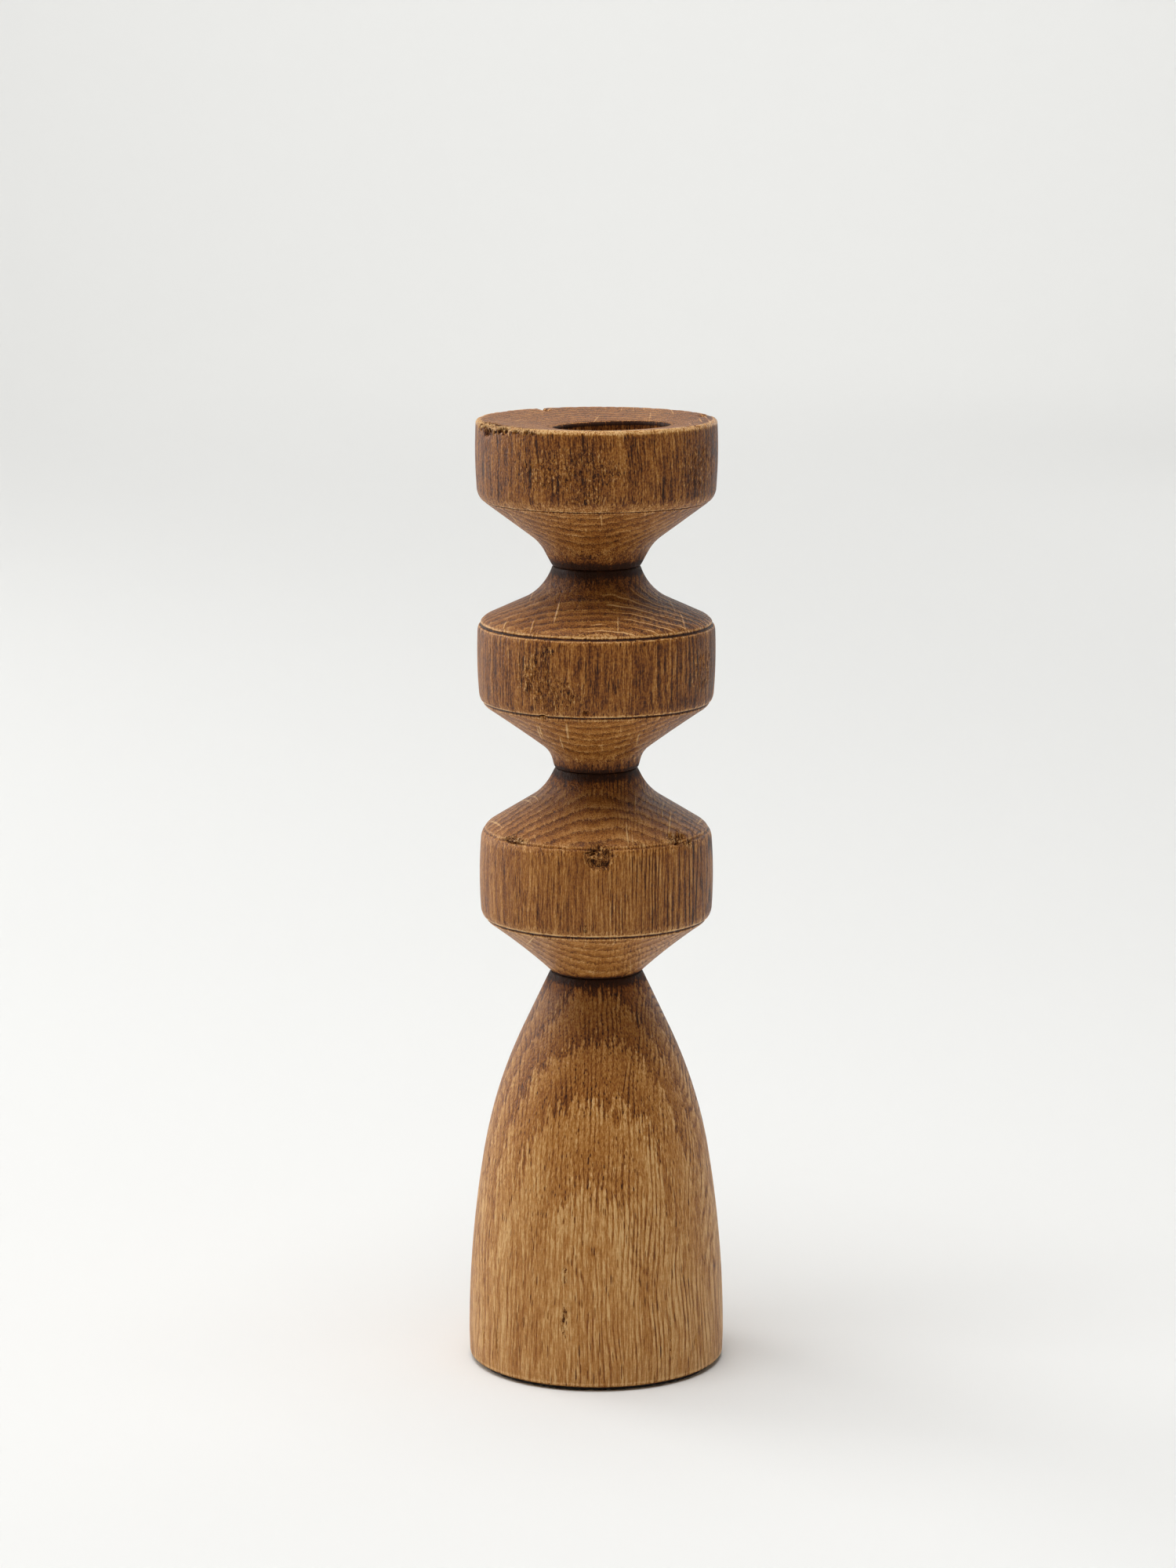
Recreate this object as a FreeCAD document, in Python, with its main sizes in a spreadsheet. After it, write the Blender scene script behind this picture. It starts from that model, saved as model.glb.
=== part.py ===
import FreeCAD, Part
import math
import os

import Sketcher

# Turned oak candlestick. Four turned segments stand one on another: a base, two spools and a cup
# with a dished top and a socket for a taper candle. Fluted dowels, glued in drilled bores, hold
# the segments together, and a felt disc is glued under the base. The frame's origin is the centre
# of the felt's underside, +Z is up the turning axis, and all lengths are in millimetres.

SIZES = {
    # felt disc under the base
    "felt_radius": 23.6,
    "felt_thickness": 0.8,
    # base: a bullet, widest just above its foot, with a small flat top
    "base_height": 76.1,
    "base_foot_radius": 24.6,
    "base_belly_radius": 24.75,
    "base_belly_height": 4.2,
    "base_knee_radius": 21.95,
    "base_knee_height": 39.1,
    "base_belly_curve": 221.0,
    "base_shoulder_radius": 13.9,
    "base_shoulder_height": 65.3,
    "base_knee_curve": 93.3,
    "base_top_radius": 8.8,
    # lower spool
    "lower_height": 39.7,
    "lower_foot_radius": 8.6,
    "lower_foot_curve": 115.0,
    "lower_arris_radius": 22.05,
    "lower_arris_height": 11.0,
    "lower_arris_round": 3.6,
    "lower_arris_curve": 100.0,
    "lower_shoulder_radius": 21.95,
    "lower_shoulder_height": 28.0,
    "lower_shoulder_round": 3.9,
    "lower_neck_radius": 10.0,
    "lower_neck_height": 35.4,
    "lower_neck_round": 11.0,
    "lower_top_radius": 7.8,
    # upper spool
    "upper_height": 38.8,
    "upper_foot_radius": 8.0,
    "upper_stem_radius": 8.9,
    "upper_stem_height": 3.3,
    "upper_stem_round": 5.0,
    "upper_stem_curve": 300.0,
    "upper_arris_radius": 22.2,
    "upper_arris_height": 12.8,
    "upper_arris_round": 3.8,
    "upper_arris_curve": 100.0,
    "upper_shoulder_radius": 22.5,
    "upper_shoulder_height": 28.4,
    "upper_shoulder_round": 3.2,
    "upper_neck_radius": 10.0,
    "upper_neck_height": 34.1,
    "upper_neck_round": 10.5,
    "upper_top_radius": 8.3,
    # candle cup
    "cup_height": 27.8,
    "cup_foot_radius": 8.4,
    "cup_neck_radius": 10.8,
    "cup_neck_height": 4.5,
    "cup_neck_round": 9.0,
    "cup_arris_radius": 22.5,
    "cup_arris_height": 13.2,
    "cup_arris_round": 3.4,
    "cup_arris_curve": 95.0,
    "cup_rim_radius": 22.75,
    "cup_rim_round": 0.6,
    "dish_radius": 22.0,
    "dish_floor_radius": 5.0,
    "dish_depth": 1.7,
    "socket_radius": 11.0,
    "socket_right": 2.9,
    "socket_front": 3.0,
    "socket_floor": 11.8,
    # arrises eased with sandpaper where two segments meet
    "joint_round": 0.4,
    # scribed lines: ring radius and height of each one's centre, and the tool tip's radius
    "scribe_tip": 0.26,
    "cup_scribe_radius": 21.35,
    "cup_scribe_height": 12.3,
    "upper_high_scribe_radius": 22.25,
    "upper_high_scribe_height": 27.8,
    "upper_low_scribe_radius": 21.7,
    "upper_low_scribe_height": 12.8,
    "lower_high_scribe_radius": 21.6,
    "lower_high_scribe_height": 28.0,
    "lower_low_scribe_radius": 21.35,
    "lower_low_scribe_height": 10.7,
    # fluted dowels, 8 by 25
    "dowel_radius": 4.0,
    "dowel_length": 25.0,
    "dowel_chamfer": 0.8,
    "flute_radius": 0.45,
    "bore_radius": 4.05,
    "glue_gap": 1.0,
    "cup_dowel_rise": 8.5,
    "spool_dowel_rise": 12.5,
}
FLUTE_COUNT = 14

doc = FreeCAD.newDocument("Candlestick")
sheet = doc.addObject("Spreadsheet::Sheet", "Sizes")
for row, (alias, value) in enumerate(SIZES.items(), start=1):
    sheet.set(f"A{row}", alias)
    sheet.set(f"B{row}", str(value))
    sheet.setAlias(f"B{row}", alias)
doc.recompute()


def new_body(name, height_expression=None):
    """A body that stands on the axis, its own bottom at the given height above the floor."""
    body = doc.addObject("PartDesign::Body", name)
    body.Label = name
    if height_expression:
        body.setExpression("Placement.Base.z", height_expression)
    return body


def origin_plane(body, role):
    """One of the body's own origin planes."""
    return next(part for part in body.Origin.OriginFeatures if part.Role == role)


def new_sketch(body, name, role):
    """A sketch on one of the body's origin planes."""
    sketch = body.newObject("Sketcher::SketchObject", name)
    sketch.AttachmentSupport = [(origin_plane(body, role), "")]
    sketch.MapMode = "FlatFace"
    return sketch


def bind(sketch, constraint, name, alias):
    """Add a dimension to a sketch, name it, and bind it to a cell of the sheet."""
    index = sketch.addConstraint(constraint)
    sketch.renameConstraint(index, name)
    sketch.setExpression(f"Constraints.{name}", f"Sizes.{alias}")


def wall_arc(start, end, radius, hollow):
    """The arc from start up to end that bulges away from the turning axis, or hollows to it."""
    chord = end - start
    outward = FreeCAD.Vector(chord.y, -chord.x, 0).normalize()
    if hollow:
        outward = -outward
    reach = math.sqrt(radius ** 2 - (chord.Length / 2) ** 2)
    crest = (start + end) * 0.5 + outward * (radius - reach)
    return Part.Arc(start, crest, end)


def turned_blank(body, prefix, stations, curved=(), hollow=()):
    """Revolve an outline about the turning axis.

    stations names the outline's corners from the bottom up: the corner called "arris" has the
    cells prefix_arris_radius and prefix_arris_height. The first corner lies in the bottom plane
    and the last in the top plane. A wall is straight unless the corner it starts at is in
    curved, which makes it bulge, or in hollow: then its radius is the cell prefix_arris_curve.
    """
    sketch = new_sketch(body, f"{body.Name}_outline", "XZ_Plane")
    top = f"{prefix}_height"
    heights = [None] + [f"{prefix}_{station}_height" for station in stations[1:-1]] + [top]
    radii = [f"{prefix}_{station}_radius" for station in stations]
    points = [
        FreeCAD.Vector(SIZES[radius], SIZES[level] if level else 0, 0)
        for radius, level in zip(radii, heights)
    ]
    floor = sketch.addGeometry(Part.LineSegment(FreeCAD.Vector(), points[0]), False)
    sketch.addConstraint(Sketcher.Constraint("Coincident", floor, 1, -1, 1))
    sketch.addConstraint(Sketcher.Constraint("PointOnObject", floor, 2, -1))
    bind(sketch, Sketcher.Constraint("DistanceX", -1, 1, floor, 2, points[0].x), "r0", radii[0])
    joint = (floor, 2)
    for number, station in enumerate(stations[:-1], start=1):
        start = points[number - 1]
        end = points[number]
        curve = f"{prefix}_{station}_curve"
        if station in curved or station in hollow:
            wall = sketch.addGeometry(wall_arc(start, end, SIZES[curve], station in hollow), False)
            bind(sketch, Sketcher.Constraint("Radius", wall, SIZES[curve]), f"c{number}", curve)
        else:
            wall = sketch.addGeometry(Part.LineSegment(start, end), False)
        lower, upper = (1, 2) if sketch.getPoint(wall, 1).isEqual(start, 1e-6) else (2, 1)
        sketch.addConstraint(Sketcher.Constraint("Coincident", *joint, wall, lower))
        radius = Sketcher.Constraint("DistanceX", -1, 1, wall, upper, end.x)
        bind(sketch, radius, f"r{number}", radii[number])
        level = Sketcher.Constraint("DistanceY", -1, 1, wall, upper, end.y)
        bind(sketch, level, f"z{number}", heights[number])
        joint = (wall, upper)
    axis_top = FreeCAD.Vector(0, SIZES[top], 0)
    roof = sketch.addGeometry(Part.LineSegment(points[-1], axis_top), False)
    sketch.addConstraint(Sketcher.Constraint("Coincident", *joint, roof, 1))
    sketch.addConstraint(Sketcher.Constraint("PointOnObject", roof, 2, -2))
    sketch.addConstraint(Sketcher.Constraint("Horizontal", roof))
    core = sketch.addGeometry(Part.LineSegment(axis_top, FreeCAD.Vector()), False)
    sketch.addConstraint(Sketcher.Constraint("Coincident", roof, 2, core, 1))
    sketch.addConstraint(Sketcher.Constraint("Coincident", core, 2, -1, 1))
    blank = body.newObject("PartDesign::Revolution", f"{body.Name}_blank")
    blank.Profile = sketch
    blank.ReferenceAxis = (sketch, ["V_Axis"])
    blank.Angle = 360
    doc.recompute()
    return blank


def ring_edges(feature, radius, height):
    """Names of the circular edges of a feature that have this radius and lie at this height."""
    names = []
    for number, edge in enumerate(feature.Shape.Edges, start=1):
        if not isinstance(edge.Curve, Part.Circle):
            continue
        same_radius = abs(edge.Curve.Radius - radius) < 1e-4
        if same_radius and abs(edge.Curve.Center.z - height) < 1e-4:
            names.append(f"Edge{number}")
    return names


def ease(body, name, rings, alias):
    """Round the circular edges at these (radius, height) places by the sheet's radius."""
    names = [edge for radius, height in rings for edge in ring_edges(body.Tip, radius, height)]
    fillet = body.newObject("PartDesign::Fillet", f"{body.Name}_{name}")
    fillet.Base = (fillet.BaseFeature, names)
    fillet.setExpression("Radius", f"Sizes.{alias}")
    doc.recompute()
    return fillet


def round_corner(body, prefix, station):
    """Round one corner of the outline by the cell prefix_station_round."""
    radius = SIZES[f"{prefix}_{station}_radius"]
    height = SIZES[f"{prefix}_{station}_height"]
    ease(body, f"{station}_round", [(radius, height)], f"{prefix}_{station}_round")


def drill(body, name, radius, bottom, length):
    """Cut a round hole on the axis; bottom and length are expressions."""
    hole = body.newObject("PartDesign::SubtractiveCylinder", f"{body.Name}_{name}")
    hole.setExpression("Radius", radius)
    hole.setExpression("Height", length)
    hole.setExpression("Placement.Base.z", bottom)
    doc.recompute()
    return hole


def scribe(body, line):
    """Cut one scribed line round the segment with a round-nosed tool."""
    ring = body.newObject("PartDesign::SubtractiveTorus", f"{body.Name}_{line}_line")
    ring.setExpression("Radius1", f"Sizes.{line}_scribe_radius")
    ring.setExpression("Radius2", "Sizes.scribe_tip")
    ring.setExpression("Placement.Base.z", f"Sizes.{line}_scribe_height")
    doc.recompute()
    return ring


def dowel_bore(body, name, bottom, depth):
    """Drill a dowel's bore, depth deep plus the gap that the glue fills at the dowel's end."""
    drill(body, name, "Sizes.bore_radius", bottom, f"{depth} + Sizes.glue_gap")


SPOOL_REACH = "(Sizes.dowel_length - Sizes.spool_dowel_rise)"
CUP_REACH = "(Sizes.dowel_length - Sizes.cup_dowel_rise)"
LOWER_FLOOR = "Sizes.felt_thickness + Sizes.base_height"
UPPER_FLOOR = f"{LOWER_FLOOR} + Sizes.lower_height"
CUP_FLOOR = f"{UPPER_FLOOR} + Sizes.upper_height"


def make_felt_pad():
    """The felt disc that the candlestick stands on."""
    body = new_body("felt_pad")
    sketch = new_sketch(body, "felt_outline", "XY_Plane")
    circle = Part.Circle(FreeCAD.Vector(), FreeCAD.Vector(0, 0, 1), SIZES["felt_radius"])
    disc = sketch.addGeometry(circle, False)
    sketch.addConstraint(Sketcher.Constraint("Coincident", disc, 3, -1, 1))
    radius = Sketcher.Constraint("Radius", disc, SIZES["felt_radius"])
    bind(sketch, radius, "disc_radius", "felt_radius")
    pad = body.newObject("PartDesign::Pad", "felt_disc")
    pad.Profile = sketch
    pad.setExpression("Length", "Sizes.felt_thickness")
    doc.recompute()
    return body


def make_base():
    """The bullet-shaped base, bored at the top for the lowest dowel."""
    body = new_body("base", "Sizes.felt_thickness")
    corners = ["foot", "belly", "knee", "shoulder", "top"]
    turned_blank(body, "base", corners, curved=["belly", "knee"])
    ease(body, "top_round", [(SIZES["base_top_radius"], SIZES["base_height"])], "joint_round")
    ease(body, "foot_round", [(SIZES["base_foot_radius"], 0)], "joint_round")
    bottom = f"Sizes.base_height - {SPOOL_REACH} - Sizes.glue_gap"
    dowel_bore(body, "top_bore", bottom, SPOOL_REACH)
    return body


def make_spool(prefix, floor, corners, rise, reach):
    """A spool: a hollow cone that opens upward, a barrelled wall, and a cove up to its neck."""
    body = new_body(f"{prefix}_spool", floor)
    flank = corners[corners.index("arris") - 1]
    turned_blank(body, prefix, corners, curved=["arris"], hollow=[flank])
    for corner in corners[1:-1]:
        round_corner(body, prefix, corner)
    foot = (SIZES[f"{prefix}_foot_radius"], 0)
    top = (SIZES[f"{prefix}_top_radius"], SIZES[f"{prefix}_height"])
    ease(body, "foot_round", [foot], "joint_round")
    ease(body, "top_round", [top], "joint_round")
    dowel_bore(body, "foot_bore", "0 mm", rise)
    top_bore_floor = f"Sizes.{prefix}_height - {reach} - Sizes.glue_gap"
    dowel_bore(body, "top_bore", top_bore_floor, reach)
    scribe(body, f"{prefix}_high")
    scribe(body, f"{prefix}_low")
    return body


def make_cup():
    """The candle cup: a short cone under a wall, with a dished top and the candle's socket.

    The socket was bored a little off the turning axis, to the right and to the front.
    """
    body = new_body("candle_cup", CUP_FLOOR)
    turned_blank(body, "cup", ["foot", "neck", "arris", "rim"], curved=["arris"])
    round_corner(body, "cup", "neck")
    round_corner(body, "cup", "arris")
    ease(body, "foot_round", [(SIZES["cup_foot_radius"], 0)], "joint_round")
    ease(body, "rim_round", [(SIZES["cup_rim_radius"], SIZES["cup_height"])], "cup_rim_round")
    dish = body.newObject("PartDesign::SubtractiveCone", "candle_cup_dish")
    dish.setExpression("Radius1", "Sizes.dish_floor_radius")
    dish.setExpression("Radius2", "Sizes.dish_radius")
    dish.setExpression("Height", "Sizes.dish_depth")
    dish.setExpression("Placement.Base.z", "Sizes.cup_height - Sizes.dish_depth")
    doc.recompute()
    socket_depth = "Sizes.cup_height - Sizes.socket_floor"
    socket = drill(body, "socket", "Sizes.socket_radius", "Sizes.socket_floor", socket_depth)
    socket.setExpression("Placement.Base.x", "Sizes.socket_right")
    socket.setExpression("Placement.Base.y", "-Sizes.socket_front")
    doc.recompute()
    dowel_bore(body, "foot_bore", "0 mm", "Sizes.cup_dowel_rise")
    scribe(body, "cup")
    return body


def make_dowel(name, joint, reach):
    """A fluted dowel that reaches this far below its joint; its flutes let out air and glue."""
    body = new_body(name, f"{joint} - {reach}")
    rod = body.newObject("PartDesign::AdditiveCylinder", f"{name}_rod")
    rod.setExpression("Radius", "Sizes.dowel_radius")
    rod.setExpression("Height", "Sizes.dowel_length")
    doc.recompute()
    ends = [(SIZES["dowel_radius"], 0), (SIZES["dowel_radius"], SIZES["dowel_length"])]
    names = [edge for radius, height in ends for edge in ring_edges(rod, radius, height)]
    chamfer = body.newObject("PartDesign::Chamfer", f"{name}_ends")
    chamfer.Base = (rod, names)
    chamfer.setExpression("Size", "Sizes.dowel_chamfer")
    doc.recompute()
    flute = body.newObject("PartDesign::SubtractiveCylinder", f"{name}_flute")
    flute.setExpression("Radius", "Sizes.flute_radius")
    flute.setExpression("Height", "Sizes.dowel_length")
    flute.setExpression("Placement.Base.x", "Sizes.dowel_radius")
    doc.recompute()
    flutes = body.newObject("PartDesign::PolarPattern", f"{name}_flutes")
    flutes.Originals = [flute]
    flutes.Axis = (origin_plane(body, "Z_Axis"), [""])
    flutes.Angle = 360
    flutes.Occurrences = FLUTE_COUNT
    body.Tip = flutes
    doc.recompute()
    return body


LOWER_CORNERS = ["foot", "arris", "shoulder", "neck", "top"]
UPPER_CORNERS = ["foot", "stem", "arris", "shoulder", "neck", "top"]

bodies = [
    make_felt_pad(),
    make_base(),
    make_spool("lower", LOWER_FLOOR, LOWER_CORNERS, "Sizes.spool_dowel_rise", SPOOL_REACH),
    make_spool("upper", UPPER_FLOOR, UPPER_CORNERS, "Sizes.spool_dowel_rise", CUP_REACH),
    make_cup(),
    make_dowel("base_dowel", LOWER_FLOOR, SPOOL_REACH),
    make_dowel("spool_dowel", UPPER_FLOOR, SPOOL_REACH),
    make_dowel("cup_dowel", CUP_FLOOR, CUP_REACH),
]
doc.recompute()

for item in doc.Objects:
    faults = [state for state in item.State if state in ("Invalid", "Error")]
    if faults:
        raise RuntimeError(f"{item.Name} is {faults}")
for body in bodies:
    if body.Shape.isNull() or not body.Shape.isValid() or len(body.Shape.Solids) != 1:
        raise RuntimeError(f"{body.Label} is not one valid solid")

os.makedirs("parts", exist_ok=True)
for body in bodies:
    body.Shape.exportStep(f"parts/{body.Label}.step")
    box = body.Shape.BoundBox
    print(f"{body.Label}: z {box.ZMin:.3f} to {box.ZMax:.3f}, volume {body.Shape.Volume:.1f}")
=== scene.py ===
import itertools
import math
from dataclasses import dataclass, replace
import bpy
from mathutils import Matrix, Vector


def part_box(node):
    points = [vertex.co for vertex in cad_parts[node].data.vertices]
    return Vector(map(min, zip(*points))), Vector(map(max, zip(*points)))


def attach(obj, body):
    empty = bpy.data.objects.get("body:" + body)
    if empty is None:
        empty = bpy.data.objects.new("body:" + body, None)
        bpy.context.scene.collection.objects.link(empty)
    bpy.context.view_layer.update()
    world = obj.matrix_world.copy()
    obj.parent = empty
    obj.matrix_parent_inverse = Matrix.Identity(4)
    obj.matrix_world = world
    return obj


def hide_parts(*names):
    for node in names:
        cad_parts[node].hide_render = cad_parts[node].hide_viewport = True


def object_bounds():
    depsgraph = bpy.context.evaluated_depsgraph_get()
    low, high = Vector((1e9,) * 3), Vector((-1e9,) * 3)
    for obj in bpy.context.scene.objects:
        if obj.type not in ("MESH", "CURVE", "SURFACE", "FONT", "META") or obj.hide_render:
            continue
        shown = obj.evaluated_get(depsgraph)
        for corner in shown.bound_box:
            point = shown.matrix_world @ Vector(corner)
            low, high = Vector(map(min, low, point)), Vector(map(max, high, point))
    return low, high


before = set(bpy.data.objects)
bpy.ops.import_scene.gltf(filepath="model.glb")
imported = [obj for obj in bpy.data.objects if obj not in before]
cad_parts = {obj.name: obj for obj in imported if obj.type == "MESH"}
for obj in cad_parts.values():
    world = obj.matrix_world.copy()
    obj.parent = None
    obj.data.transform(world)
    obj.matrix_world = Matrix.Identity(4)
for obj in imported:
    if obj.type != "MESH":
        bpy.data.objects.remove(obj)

from types import SimpleNamespace

import bpy
import numpy as np
from mathutils import Vector

# A turned oak candlestick: base, two spools and a cup, with a felt disc under it and fluted dowels
# inside. The four segments are turned from outlines, then worn: torn grain, chips and dents are in
# the meshes, and pores, rays and rings are in the materials. Lengths are in millimetres until a
# mesh is made. Azimuths are in degrees, 0 at the front (-Y) and positive towards +X.

MM = 0.001
cad_low, cad_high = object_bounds()


# ---------------------------------------------------------------- noise on a lattice

# large odd numbers that scatter a cell's place, the seed, and the mixed result
SCATTER = np.array([374761393, 668265263, 1442695041])
SEED_SCATTER = 974711
MIX_SCATTER = 1274126177
WORD = 0xFFFFFFFF
HALF_WORD = 0xFFFF


def lattice(cell, seed):
    """A repeatable value from 0 to 1 for each whole-numbered cell."""
    mixed = (np.sum(cell * SCATTER, axis=-1) + seed * SEED_SCATTER) & WORD
    mixed = ((mixed ^ (mixed >> 13)) * MIX_SCATTER) & WORD
    return ((mixed ^ (mixed >> 16)) & HALF_WORD) / HALF_WORD


def cloud(points, seed):
    """Smooth noise from 0 to 1, with lumps about one unit across."""
    cell = np.floor(points).astype(np.int64)
    inside = points - cell
    blend = inside * inside * (3 - 2 * inside)
    total = np.zeros(points.shape[:-1])
    for corner in itertools.product((0, 1), repeat=3):
        weight = np.ones(points.shape[:-1])
        for axis, side in enumerate(corner):
            weight = weight * (blend[..., axis] if side else 1 - blend[..., axis])
        total += weight * lattice(cell + np.array(corner), seed)
    return total


def ramp(value, low, high):
    """0 below low, 1 above high, smooth between."""
    part = np.clip((value - low) / (high - low), 0, 1)
    return part * part * (3 - 2 * part)


# ---------------------------------------------------------------- outlines

@dataclass
class Corner:
    """A corner of an outline, and the wall that starts there."""
    radius: float
    height: float
    round: float = 0.0
    curve: float = 0.0
    step: float = 0.38


FINE = 0.02
ARC_STEP = 0.22
ARC_POINTS = 24
SOFT_BEND = 0.12
SHARP_BEND = 0.9


def wall(start, end):
    """Closely spaced points from one corner to the next; a negative curve hollows the wall."""
    first = np.array([start.radius, start.height])
    chord = np.array([end.radius, end.height]) - first
    length = np.linalg.norm(chord)
    part = np.linspace(0, 1, max(3, int(length / FINE)))[:, None]
    points = first + part * chord
    if start.curve:
        along = (part - 0.5) * length
        rise = np.sqrt(start.curve ** 2 - along ** 2)
        rise = rise - math.sqrt(start.curve ** 2 - length ** 2 / 4)
        outward = np.array([chord[1], -chord[0]]) / length
        points = points + math.copysign(1, start.curve) * rise * outward
    return points


def eased(before, after, radius):
    """The two walls at a corner, trimmed, and the arc of that radius between them."""
    corner = after[0]
    come = before[-1] - before[-2]
    leave = after[1] - after[0]
    cosine = np.dot(come, leave) / (np.linalg.norm(come) * np.linalg.norm(leave))
    half_turn = math.acos(max(-1, min(1, cosine))) / 2
    reach = radius * math.tan(half_turn)
    before = before[np.linalg.norm(before - corner, axis=1) > reach]
    after = after[np.linalg.norm(after - corner, axis=1) > reach]
    part = np.linspace(0, 1, ARC_POINTS)[:, None]
    weight = math.cos(half_turn)
    share = (1 - part) ** 2 + 2 * weight * part * (1 - part) + part ** 2
    arc = (1 - part) ** 2 * before[-1] + 2 * weight * part * (1 - part) * corner
    arc = (arc + part ** 2 * after[0]) / share
    return before, arc[1:-1], after


@dataclass
class Scribe:
    """A line cut round a segment by the tip of a chisel."""
    radius: float
    height: float
    half_width: float
    depth: float


def joined(corners):
    """The outline as close points, and the mesh's step at each of them."""
    walls = [wall(a, b) for a, b in zip(corners, corners[1:])]
    arcs = []
    for number, corner in enumerate(corners[1:-1]):
        arc = np.empty((0, 2))
        if corner.round:
            before, arc, after = eased(walls[number], walls[number + 1], corner.round)
            walls[number] = before
            walls[number + 1] = after
        arcs.append(arc)
    pieces = []
    steps = []
    for number, points in enumerate(walls):
        pieces.append(points if number == 0 or len(arcs[number - 1]) else points[1:])
        steps.append(np.full(len(pieces[-1]), corners[number].step))
        if number < len(arcs) and len(arcs[number]):
            pieces.append(arcs[number])
            arc_step = min(ARC_STEP, corners[number].step, corners[number + 1].step)
            steps.append(np.full(len(arcs[number]), arc_step))
    return np.vstack(pieces), np.concatenate(steps)


# painted highlights on the lips of a scribed line: strength, place and spread, in half widths of
# the line
LIPS = ((3.0, 1.9, 0.8), (2.0, -1.8, 0.6))
SCRIBE_REACH = 3.0


def scribed(points, travel, step, scribes):
    """Depth of the scribed lines, the painted highlights on the lips beside them, and a step fine
    enough for them.
    """
    cut = np.zeros(len(points))
    lip = np.zeros(len(points))
    for line in scribes:
        apart = np.linalg.norm(points - np.array([line.radius, line.height]), axis=1)
        offset = (travel - travel[np.argmin(apart)]) / line.half_width
        fine = np.minimum(step, line.half_width / 3)
        step = np.where(np.abs(offset) < SCRIBE_REACH, fine, step)
        cut = cut + line.depth * np.exp(-np.abs(offset) ** 2.5)
        for strength, place, spread in LIPS:
            lip = lip + strength * line.depth * np.exp(-((offset - place) / spread) ** 2)
    return cut, lip, step


def outline(corners, scribes):
    """Rings of the mesh: radius, height, normal's radius and height, scribe's depth, edge for
    rubbed wear and painted highlight.
    """
    points, step = joined(corners)
    travel = np.concatenate([[0], np.cumsum(np.linalg.norm(np.diff(points, axis=0), axis=1))])
    cut, lip, step = scribed(points, travel, step, scribes)
    crowd = np.concatenate([[0], np.cumsum(np.diff(travel) / step[1:])])
    count = int(crowd[-1]) + 1
    picks = np.interp(np.linspace(0, crowd[-1], count), crowd, travel)
    radius = np.interp(picks, travel, points[:, 0])
    height = np.interp(picks, travel, points[:, 1])
    # the normal comes from points a little to both sides
    ahead = np.minimum(picks + FINE, travel[-1])
    behind = np.maximum(picks - FINE, 0)
    along_r = np.interp(ahead, travel, points[:, 0]) - np.interp(behind, travel, points[:, 0])
    along_z = np.interp(ahead, travel, points[:, 1]) - np.interp(behind, travel, points[:, 1])
    size = np.hypot(along_r, along_z)
    turn = np.unwrap(np.arctan2(along_z, along_r))
    bend = np.gradient(turn) / np.gradient(picks)
    # edges and scribe lips are later lightened as rubbed wear and a painted highlight
    edge = ramp(np.convolve(bend, np.full(3, 1 / 3), "same"), SOFT_BEND, SHARP_BEND)
    edge = np.maximum(edge, np.minimum(np.interp(picks, travel, lip), 1))
    depth = np.interp(picks, travel, cut)
    return np.column_stack([radius, height, along_z / size, -along_r / size, depth, edge])


# ---------------------------------------------------------------- wear

@dataclass
class Wear:
    """A worn place: centre, size across and along the grain, depth, and how ragged it is.

    A smooth dent has grit 0. With grit 1 only scattered torn pits are left of it. The material
    has fewer torn marks there when marks is low.
    """
    azimuth: float
    height: float
    width: float
    tall: float
    depth: float
    grit: float = 1.0
    pit: tuple = (0.5, 0.9)
    marks: float = 1.0


FULL_WEAR = 0.45
RIM_WEAR = (1.6, 3.6)


def worn_area(place, spot):
    """1 in the middle of a worn place, 0 outside it and away from the segment's rim."""
    azimuth, height, radius = place
    across = (azimuth - spot.azimuth + 180) % 360 - 180
    across = np.radians(across) * radius / (spot.width / 2)
    along = (height - spot.height) / (spot.tall / 2)
    inward = np.max(radius) - radius
    return (1 - ramp(np.hypot(across, along), FULL_WEAR, 1.0)) * (1 - ramp(inward, *RIM_WEAR))


def worn_depth(place, spot, area, seed):
    """How deep a worn place is at each point, in mm."""
    azimuth, height, radius = place
    arc = np.radians(azimuth) * radius
    grain = np.stack([arc / spot.pit[0], height / spot.pit[1], radius / spot.pit[0]], axis=-1)
    torn = ramp(cloud(grain, seed) + 0.35 * (area - 1), 0.5, 0.66)
    return spot.depth * area * (1 - spot.grit + spot.grit * torn)


@dataclass
class PaintedShade:
    """A ring of painted shade, strongest at this radius and height, where a joint, the socket or
    the floor shades the wood.
    """
    radius: float
    height: float
    reach: float


def painted_shading(rings, shade_rings):
    """How much painted shade each ring of a mesh gets, from 0 to 1."""
    painted_shade = np.zeros(len(rings))
    for shade_ring in shade_rings:
        apart = np.hypot(rings[:, 0] - shade_ring.radius, rings[:, 1] - shade_ring.height)
        painted_shade = np.maximum(painted_shade, 1 - ramp(apart, 0, shade_ring.reach))
    return painted_shade


# ---------------------------------------------------------------- turned meshes

AROUND = 400
BORE_MARGIN = 0.5
CHIP_LUMP = 0.8
CHIP_DEPTH = 0.2
UNSHADED = 0.02
SLOW_LUMP = 9.0
SCRIBE_LUMP = 2.5


def worn_fields(place, wears, seed):
    """How torn each point is, from 0 to 1, and how far it is sunk, in mm."""
    torn = np.zeros(place[0].shape)
    sunk = np.zeros(place[0].shape)
    for number, spot in enumerate(wears):
        area = worn_area(place, spot)
        torn = np.maximum(torn, area * spot.grit * spot.marks)
        sunk = np.maximum(sunk, worn_depth(place, spot, area, seed * 100 + number))
    return torn, sunk


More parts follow.
